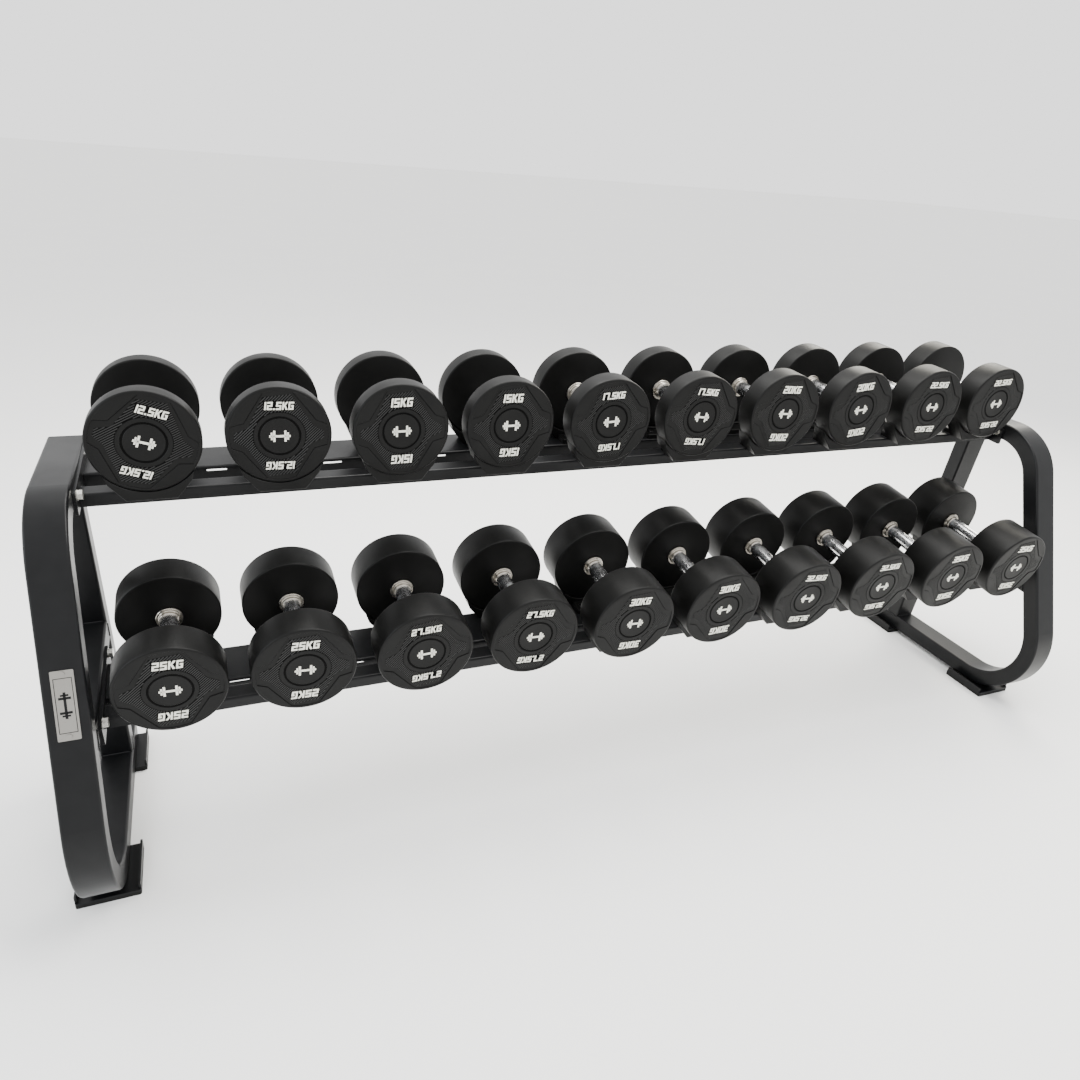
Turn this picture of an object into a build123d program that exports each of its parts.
from build123d import *
import os
from math import cos, radians, sin, sqrt, tan

# Two-tier dumbbell rack with ten dumbbells on each tier.
# Millimetres. X runs along the rack, Y runs from the user's side to the back, Z is up.
# The origin is on the floor, at the centre of the rack's outline.

os.makedirs("parts", exist_ok=True)

# ---- driving dimensions -------------------------------------------------------------
dumbbell_pitch = 218.0      # centre to centre of neighbouring dumbbells
per_tier = 10               # dumbbells on each tier
end_space = 122.5           # first dumbbell's centre to the side frame's inner face
frame_depth = 565.0         # side frame, front to back
frame_top = 744.5           # top of the side frames above the floor

# side frame tube
tube_w = 65.0               # wide face of the tube, along X
tube_d = 43.0               # narrow face of the tube, in the frame's plane
tube_wall = 2.5
tube_corner = 5.0           # outside corner radius of the tube
front_lean = 21.0           # degrees that the front member leans back
floor_bend = 174.0          # outside radius of the bend at the floor
top_bend = 146.0            # outside radius of the bend at the top
leg_setback = 170.0         # rear leg's front face at the floor member, behind the centre
leg_lean = 5.5              # degrees that the rear leg leans forward
cross_tilt = 5.0            # degrees that the crossbar rises to the back
cross_top = 409.0           # crossbar's top face where it meets the rear leg

# feet
pad_t = 8.0                 # rubber pad
bracket_t = 4.0             # foot bracket plate
foot_l = 120.0              # foot, along Y
foot_w = 110.0              # foot, along X
lip_h = 13.0                # upturned edge above the bracket's plate
foot_corner = 4.0
front_foot_y = -133.0
rear_foot_y = 221.0

# plastic caps in the tube ends
cap_t = 3.0
cap_plug = 15.0
cap_gap = 0.3

# dumbbells
head_r = 91.0
head_edge = 4.0             # rounding of the head's rims
grip_l = 137.0              # between the heads' inner faces
grip_r = 16.0
collar_r = 23.5
collar_t = 5.0
neck_r = 18.5
neck_t = 7.0
spigot_r = 12.2
spigot_l = 22.0
bore_r = 12.5
bore_end = 1.0              # bore past the spigot's end
panel_r = 78.0              # recessed ring on the outer face
panel_depth = 2.0
ring_r = 41.0               # raised ring inside the panel
disc_r = 32.0
disc_depth = 1.0
lightest_head_t = 33.0      # head of the lightest dumbbell
step_t = 6.2                # growth of each head from one weight to the next

# tiers: the dumbbells' middle, the deck's height under it, and the tilt down to the front
top_y = 94.5
top_deck_rise = -25.5       # from the side frames' top
top_tilt = 3.7
bottom_y = -74.5
bottom_deck_rise = -45.5    # from the crossbars' top
bottom_tilt = 7.7
sheet_t = 3.0
sheet_bend = 5.0            # outside radius of the folded edges
front_rail_w = 37.0
front_rail_h = 24.0
rear_rail_w = 97.0
rear_rail_h = 28.0
front_rail_a = -60.0        # rail's front edge from the dumbbells' centre, along the deck
top_rear_rail_a = 27.0
bottom_rear_rail_a = -7.0
slot_l = 37.0               # slots in the rear rails' front flanges
slot_h = 4.5
slot_drop = 8.5             # deck to the slot's centre

# end plates
plate_t = 5.0
plate_corner = 3.0
plate_above = 16.0          # above the deck
plate_below = 26.0          # below the deck
top_plate_a = -89.0         # plate's front edge from the dumbbells' centre
top_plate_l = 244.0
bottom_plate_a = -98.0
bottom_plate_l = 222.0
bolt_inset = 18.0           # bolt's centre from the plate's end
top_bolt_rise = 5.0         # bolt's centre above the deck
bottom_bolt_rise = 10.2
bolt_r = 5.0
bolt_clear = 0.5
bolt_head_af = 16.0
bolt_head_t = 7.0
bolt_length = 24.0
washer_r = 9.5
washer_t = 2.0

# saddles
saddle_depth = 41.0
saddle_gap = 0.5            # head to the saddle's hollow
saddle_web = 15.0           # under the middle of the head
saddle_half_angle = 52.0    # degrees each side of straight down
saddle_foot = 41.0          # half width of the flat underside
shoulder_across = 0.725     # corner of each arm, in shares of the head's radius
shoulder_below = 0.824
top_rear_saddle_a = 82.5    # saddle's centre from the dumbbells' centre
bottom_rear_saddle_a = 86.0
lug_l = 34.0                # lug that screws down to the rail
lug_w = 72.0
lug_t = 11.0
lug_corner = 6.0
screw_spacing = 44.0
screw_r = 3.0
screw_clear = 0.4
screw_head_r = 6.0
screw_head_t = 3.5
screw_length = 20.0

# nameplate on the left frame
name_w = 34.0
name_h = 116.0
name_t = 1.5
name_corner = 2.0
name_z = 448.0              # height of its centre above the floor
rivet_r = 4.5
rivet_t = 1.5
rivet_inset = 6.0

# lengths that the rest follows
tube_z = pad_t + bracket_t                      # underside of the side frame's tube
deck_drop = head_r + saddle_gap + saddle_web    # dumbbell axis to the rails' decks
inner_half = end_space + dumbbell_pitch * (per_tier - 1) / 2
tube_x = inner_half + tube_w / 2                # centre plane of a side frame
rail_half = inner_half - plate_t
half_depth = frame_depth / 2
first_x = -dumbbell_pitch * (per_tier - 1) / 2
sides = {"left": -1, "right": 1}


def write(block, name):
    """Label a finished piece and save it as one STEP file."""
    block.part.label = name
    export_step(block.part, f"parts/{name}.step")


# ---- side frames --------------------------------------------------------------------
# Each side is one tube bent into a C: the top member, the leaning front member and the
# floor member. A straight rear leg and a crossbar are welded between them.
lean = radians(front_lean)
floor_line = tube_z + tube_d / 2                # centre lines of the horizontal members
top_line = frame_top - tube_d / 2
floor_radius = floor_bend - tube_d / 2
top_radius = top_bend - tube_d / 2
floor_corner_y = -half_depth + floor_bend - floor_radius * tan((radians(90) + lean) / 2)
top_corner_y = floor_corner_y + (top_line - floor_line) * tan(lean)
tube_end_y = half_depth - cap_t


def front_face_y(z):
    """Front face of the front member at height z, along its straight run."""
    return floor_corner_y + (z - floor_line) * tan(lean) - tube_d / 2 / cos(lean)


def front_inner_y(z):
    """Rear-facing side of the front member at height z."""
    return front_face_y(z) + tube_d / cos(lean)


def leg_front_y(z):
    """Front face of the rear leg at height z."""
    return leg_setback - (z - tube_z) * tan(radians(leg_lean))


# ---- tiers: places along the tilted decks --------------------------------------------
class Tier:
    """One tier's frame: a runs back along the deck and b stands square to it."""

    def __init__(self, name, centre, tilt, rear_a, saddle_a, plate, bolt_rise, first_step):
        self.name = name
        self.y, self.z = centre
        self.bolt_b = -deck_drop + bolt_rise
        self.c, self.s = cos(radians(tilt)), sin(radians(tilt))
        self.rear_a = rear_a
        self.saddle_a = saddle_a
        self.plate_a, self.plate_l = plate
        self.first_step = first_step

    def at(self, x, a, b):
        return Vector(x, self.y + a * self.c - b * self.s, self.z + a * self.s + b * self.c)

    def side_plane(self, x):
        """Sketch plane across the rack: local x is a, local y is b, normal is +X."""
        return Plane(origin=self.at(x, 0, 0), x_dir=(0, self.c, self.s), z_dir=(1, 0, 0))

    def face_plane(self, x, a):
        """Sketch plane square to the dumbbells: local x is X, local y is b, normal is front."""
        return Plane(origin=self.at(x, a, 0), x_dir=(1, 0, 0), z_dir=(0, -self.c, -self.s))

    def bolts(self, x):
        """Places of an end plate's two bolts."""
        ends = (self.plate_a + bolt_inset, self.plate_a + self.plate_l - bolt_inset)
        return [self.at(x, a, self.bolt_b) for a in ends]


top = Tier(
    "top", (top_y, frame_top + top_deck_rise + deck_drop), top_tilt,
    top_rear_rail_a, top_rear_saddle_a,
    (top_plate_a, top_plate_l), top_bolt_rise, 0,
)
bottom = Tier(
    "bottom", (bottom_y, cross_top + bottom_deck_rise + deck_drop), bottom_tilt,
    bottom_rear_rail_a, bottom_rear_saddle_a,
    (bottom_plate_a, bottom_plate_l), bottom_bolt_rise, per_tier // 2,
)
tiers = (top, bottom)
cross_rise = tan(radians(cross_tilt))

for side, sign in sides.items():
    start = Vector(sign * tube_x, tube_end_y, top_line)
    with BuildPart() as side_loop:
        with BuildLine() as path:
            FilletPolyline(
                start,
                (sign * tube_x, top_corner_y, top_line),
                (sign * tube_x, floor_corner_y, floor_line),
                (sign * tube_x, tube_end_y, floor_line),
                radius=[top_radius, floor_radius],
            )
        section = Plane(origin=start, x_dir=(1, 0, 0), z_dir=(0, -1, 0))
        with BuildSketch(section):
            RectangleRounded(tube_w, tube_d, tube_corner)
            RectangleRounded(
                tube_w - 2 * tube_wall, tube_d - 2 * tube_wall, tube_corner - tube_wall,
                mode=Mode.SUBTRACT,
            )
        sweep(path=path.wire())
        for place in top.bolts(sign * inner_half):
            with BuildSketch(Plane(origin=place, z_dir=(sign, 0, 0))):
                Circle(bolt_r + bolt_clear)
            extrude(amount=2 * tube_wall, both=True, mode=Mode.SUBTRACT)
    write(side_loop, f"{side}_side_loop")

    # rear leg: a straight tube cut off level on the floor member and under the top member
    leg_low, leg_high = tube_z + tube_d, frame_top - tube_d
    leg_angle = radians(leg_lean)
    leg_depth = tube_d / cos(leg_angle)
    wall_y = tube_wall / cos(leg_angle)
    with BuildPart() as rear_leg:
        with BuildSketch(Plane.YZ.offset(sign * tube_x)):
            with BuildLine():
                Polyline(
                    (leg_front_y(leg_low), leg_low),
                    (leg_front_y(leg_low) + leg_depth, leg_low),
                    (leg_front_y(leg_high) + leg_depth, leg_high),
                    (leg_front_y(leg_high), leg_high),
                    close=True,
                )
            make_face()
        extrude(amount=tube_w / 2, both=True)
        long_edges = rear_leg.edges().filter_by(
            lambda e: abs((e % 0.5).Z) > 0.9
        )
        fillet(long_edges, radius=tube_corner)
        with BuildSketch(Plane.YZ.offset(sign * tube_x)):
            with BuildLine():
                Polyline(
                    (leg_front_y(leg_low) + wall_y, leg_low),
                    (leg_front_y(leg_low) + leg_depth - wall_y, leg_low),
                    (leg_front_y(leg_high) + leg_depth - wall_y, leg_high),
                    (leg_front_y(leg_high) + wall_y, leg_high),
                    close=True,
                )
            make_face()
        extrude(amount=tube_w / 2 - tube_wall, both=True, mode=Mode.SUBTRACT)
    write(rear_leg, f"{side}_rear_leg")

    # crossbar: mitred to the front member and to the rear leg
    fall = tan(radians(leg_lean))

    def cross_outline(shift):
        """Mitred outline of the crossbar, moved in from its faces by shift."""
        low = cross_top - (tube_d - shift) / cos(radians(cross_tilt))
        high = cross_top - shift / cos(radians(cross_tilt))
        corners = []
        for z_ref in (low, high):
            ref_y = leg_front_y(cross_top)
            base = z_ref - ref_y * cross_rise
            rear_y = (leg_setback - (base - tube_z) * fall) / (1 + cross_rise * fall)
            front_0 = front_inner_y(0)
            front_y = (front_0 + base * tan(lean)) / (1 - cross_rise * tan(lean))
            front = (front_y, base + front_y * cross_rise)
            rear = (rear_y, base + rear_y * cross_rise)
            corners.append((front, rear))
        (front_low, rear_low), (front_high, rear_high) = corners
        return front_low, rear_low, rear_high, front_high

    with BuildPart() as crossbar:
        with BuildSketch(Plane.YZ.offset(sign * tube_x)):
            with BuildLine():
                Polyline(*cross_outline(0), close=True)
            make_face()
        extrude(amount=tube_w / 2, both=True)
        run_edges = crossbar.edges().filter_by(
            lambda e: abs((e % 0.5).Y) > 0.9
        )
        fillet(run_edges, radius=tube_corner)
        with BuildSketch(Plane.YZ.offset(sign * tube_x)):
            with BuildLine():
                Polyline(*cross_outline(tube_wall), close=True)
            make_face()
        extrude(amount=tube_w / 2 - tube_wall, both=True, mode=Mode.SUBTRACT)
        for place in bottom.bolts(sign * inner_half):
            with BuildSketch(Plane(origin=place, z_dir=(sign, 0, 0))):
                Circle(bolt_r + bolt_clear)
            extrude(amount=2 * tube_wall, both=True, mode=Mode.SUBTRACT)
    write(crossbar, f"{side}_crossbar")

# ---- caps in the open rear ends of the side tubes ------------------------------------
with BuildPart() as tube_end_caps:
    for sign in sides.values():
        for z in (floor_line, top_line):
            mouth = Plane(origin=(sign * tube_x, tube_end_y, z), x_dir=(1, 0, 0), z_dir=(0, 1, 0))
            with BuildSketch(mouth):
                RectangleRounded(tube_w, tube_d, tube_corner)
            extrude(amount=cap_t)
            with BuildSketch(mouth):
                plug_w = tube_w - 2 * (tube_wall + cap_gap)
                plug_h = tube_d - 2 * (tube_wall + cap_gap)
                RectangleRounded(plug_w, plug_h, tube_corner - tube_wall)
            extrude(amount=-cap_plug)
write(tube_end_caps, "tube_end_caps")

# ---- feet: a steel bracket with upturned lips on a rubber pad -------------------------
foot_places = [
    (sign * tube_x, y) for sign in sides.values() for y in (front_foot_y, rear_foot_y)
]
with BuildPart() as foot_brackets:
    with BuildSketch(Plane.XY.offset(pad_t)):
        with Locations(*foot_places):
            RectangleRounded(foot_w, foot_l, foot_corner)
    extrude(amount=bracket_t)
    with BuildSketch(Plane.XY.offset(tube_z)):
        with Locations(*foot_places):
            with GridLocations(foot_w - bracket_t, 0, 2, 1):
                Rectangle(bracket_t, foot_l - 2 * foot_corner)
    extrude(amount=lip_h)
write(foot_brackets, "foot_brackets")

with BuildPart() as foot_pads:
    with BuildSketch(Plane.XY):
        with Locations(*foot_places):
            RectangleRounded(foot_w, foot_l, foot_corner)
    extrude(amount=pad_t)
write(foot_pads, "foot_pads")

# ---- rails: folded sheet, open underneath ---------------------------------------------
slot_places = [first_x + dumbbell_pitch * (i + 0.5) for i in range(per_tier - 1)]
dumbbell_places = [first_x + dumbbell_pitch * i for i in range(per_tier)]
screw_places = [x + side * screw_spacing / 2 for x in dumbbell_places for side in (-1, 1)]


def lug_centre(tier, row):
    """Distance a of the middle of a saddle's lug."""
    if row == "front":
        return front_rail_a + lug_l / 2
    return tier.saddle_a - saddle_depth / 2 - lug_l / 2


for tier in tiers:
    for row, a0, width, height in (
        ("front", front_rail_a, front_rail_w, front_rail_h),
        ("rear", tier.rear_a, rear_rail_w, rear_rail_h),
    ):
        a1 = a0 + width
        low = -deck_drop - height
        high = -deck_drop
        with BuildPart() as rail:
            with BuildSketch(tier.side_plane(0)):
                with BuildLine():
                    FilletPolyline((a0, low), (a0, high), (a1, high), (a1, low), radius=sheet_bend)
                    Line((a1, low), (a1 - sheet_t, low))
                    FilletPolyline(
                        (a1 - sheet_t, low), (a1 - sheet_t, high - sheet_t),
                        (a0 + sheet_t, high - sheet_t), (a0 + sheet_t, low),
                        radius=sheet_bend - sheet_t,
                    )
                    Line((a0 + sheet_t, low), (a0, low))
                make_face()
            extrude(amount=rail_half, both=True)
            if row == "rear":
                slot_b = high - slot_drop
                with BuildSketch(tier.face_plane(0, a0)):
                    with Locations(*[(x, slot_b) for x in slot_places]):
                        SlotOverall(slot_l, slot_h)
                extrude(amount=-2 * sheet_t, mode=Mode.SUBTRACT)
            lug_a = lug_centre(tier, row)
            for x in screw_places:
                deck = Plane(origin=tier.at(x, lug_a, high), z_dir=(0, -tier.s, tier.c))
                with BuildSketch(deck):
                    Circle(screw_r + screw_clear)
                extrude(amount=-2 * sheet_t, mode=Mode.SUBTRACT)
        write(rail, f"{tier.name}_{row}_rail")

# ---- end plates between the rails and the side frames ---------------------------------
for tier in tiers:
    with BuildPart() as end_plates:
        for sign in sides.values():
            with BuildSketch(tier.side_plane(sign * (inner_half - plate_t / 2))):
                with BuildLine():
                    Polyline(
                        (tier.plate_a, -deck_drop - plate_below),
                        (tier.plate_a + tier.plate_l, -deck_drop - plate_below),
                        (tier.plate_a + tier.plate_l, -deck_drop + plate_above),
                        (tier.plate_a, -deck_drop + plate_above),
                        close=True,
                    )
                plate_face = make_face()
                fillet(plate_face.vertices(), radius=plate_corner)
            extrude(amount=plate_t / 2, both=True)
            for place in tier.bolts(sign * inner_half):
                with BuildSketch(Plane(origin=place, z_dir=(-sign, 0, 0))):
                    Circle(bolt_r + bolt_clear)
                extrude(amount=2 * plate_t, mode=Mode.SUBTRACT)
    write(end_plates, f"{tier.name}_end_plates")

# bolts with washers, heads inside the rack and shanks through the plate and the tube wall
with BuildPart() as shelf_bolts:
    for tier in tiers:
        for sign in sides.values():
            for place in tier.bolts(sign * (inner_half - plate_t)):
                inward = Plane(origin=place, z_dir=(-sign, 0, 0))
                outward = Plane(origin=place, z_dir=(sign, 0, 0))
                with BuildSketch(inward):
                    Circle(washer_r)
                extrude(amount=washer_t)
                with BuildSketch(inward.offset(washer_t)):
                    RegularPolygon(bolt_head_af / 2, 6, major_radius=False)
                extrude(amount=bolt_head_t)
                with BuildSketch(outward):
                    Circle(bolt_r)
                extrude(amount=bolt_length)
write(shelf_bolts, "shelf_bolts")

# ---- saddles: moulded cradles, one under each head, with a lug screwed to the rail ----
arc_r = head_r + saddle_gap
arc_x = arc_r * sin(radians(saddle_half_angle))
arc_b = -arc_r * cos(radians(saddle_half_angle))
shoulder_x, shoulder_b = head_r * shoulder_across, -head_r * shoulder_below
for tier in tiers:
    with BuildPart() as saddles:
        for row, centre_a, back in (
            ("front", front_rail_a - saddle_depth / 2, 1),
            ("rear", tier.saddle_a, -1),
        ):
            for x in dumbbell_places:
                with BuildSketch(tier.face_plane(x, centre_a)):
                    with BuildLine():
                        ThreePointArc((-arc_x, arc_b), (0, -arc_r), (arc_x, arc_b))
                        Polyline(
                            (arc_x, arc_b), (shoulder_x, shoulder_b), (saddle_foot, -deck_drop),
                            (-saddle_foot, -deck_drop), (-shoulder_x, shoulder_b), (-arc_x, arc_b),
                        )
                    make_face()
                extrude(amount=saddle_depth / 2, both=True)
                lug_a = centre_a + back * (saddle_depth / 2 + lug_l / 2)
                deck = Plane(
                    origin=tier.at(x, lug_a, -deck_drop), x_dir=(1, 0, 0),
                    z_dir=(0, -tier.s, tier.c),
                )
                with BuildSketch(deck):
                    RectangleRounded(lug_w, lug_l, lug_corner)
                    with Locations((0, -back * lug_l / 4)):
                        Rectangle(lug_w, lug_l / 2)
                extrude(amount=lug_t)
                with BuildSketch(deck):
                    with GridLocations(screw_spacing, 0, 2, 1):
                        Circle(screw_r + screw_clear)
                extrude(amount=lug_t, mode=Mode.SUBTRACT)
    write(saddles, f"{tier.name}_saddles")

with BuildPart() as saddle_screws:
    for tier in tiers:
        for row in ("front", "rear"):
            lug_a = lug_centre(tier, row)
            for x in screw_places:
                seat = Plane(
                    origin=tier.at(x, lug_a, -deck_drop + lug_t), z_dir=(0, -tier.s, tier.c)
                )
                with BuildSketch(seat):
                    Circle(screw_head_r)
                extrude(amount=screw_head_t)
                with BuildSketch(seat):
                    Circle(screw_r)
                extrude(amount=-screw_length)
write(saddle_screws, "saddle_screws")

# ---- nameplate with a rivet at each end, on the left frame's leaning front member -----
name_plane = Plane(
    origin=(-tube_x, front_face_y(name_z), name_z), x_dir=(1, 0, 0),
    z_dir=(0, -cos(lean), sin(lean)),
)
with BuildPart() as nameplate:
    with BuildSketch(name_plane):
        RectangleRounded(name_w, name_h, name_corner)
    extrude(amount=name_t)
    with BuildSketch(name_plane.offset(name_t)):
        with GridLocations(0, name_h - 2 * rivet_inset, 1, 2):
            Circle(rivet_r)
    extrude(amount=rivet_t)
write(nameplate, "nameplate")

# ---- dumbbells: two round heads on one handle ------------------------------------------
numbers = {"top": 0, "bottom": per_tier}
for tier in tiers:
    for i, x in enumerate(dumbbell_places):
        label = f"dumbbell_{numbers[tier.name] + i + 1:02d}"
        head_t = lightest_head_t + step_t * (i // 2 + tier.first_step)
        inner = grip_l / 2
        outer = inner + head_t
        axis = Axis(tier.at(x, 0, 0), (0, tier.c, tier.s))
        with BuildPart() as heads:
            for end in (-1, 1):
                with BuildSketch(tier.side_plane(x)) as heads_profile:
                    with BuildLine():
                        Polyline(
                            (end * inner, bore_r), (end * inner, head_r),
                            (end * outer, head_r), (end * outer, panel_r),
                            (end * (outer - panel_depth), panel_r),
                            (end * (outer - panel_depth), ring_r), (end * outer, ring_r),
                            (end * outer, disc_r), (end * (outer - disc_depth), disc_r),
                            (end * (outer - disc_depth), 0),
                            (end * (inner + spigot_l + bore_end), 0),
                            (end * (inner + spigot_l + bore_end), bore_r),
                            close=True,
                        )
                    make_face()
                    rims = heads_profile.vertices().group_by(Axis.Y)[-1]
                    fillet(rims, radius=head_edge)
                revolve(axis=axis)
        write(heads, f"{label}_heads")
        with BuildPart() as handle:
            with BuildSketch(tier.side_plane(x)):
                with BuildLine():
                    Polyline(
                        (-inner - spigot_l, 0), (-inner - spigot_l, spigot_r),
                        (-inner, spigot_r), (-inner, collar_r),
                        (-inner + collar_t, collar_r), (-inner + collar_t, neck_r),
                        (-inner + collar_t + neck_t, neck_r),
                        (-inner + collar_t + neck_t, grip_r),
                        (inner - collar_t - neck_t, grip_r),
                        (inner - collar_t - neck_t, neck_r),
                        (inner - collar_t, neck_r), (inner - collar_t, collar_r),
                        (inner, collar_r), (inner, spigot_r),
                        (inner + spigot_l, spigot_r), (inner + spigot_l, 0),
                        close=True,
                    )
                make_face()
            revolve(axis=axis)
        write(handle, f"{label}_handle")
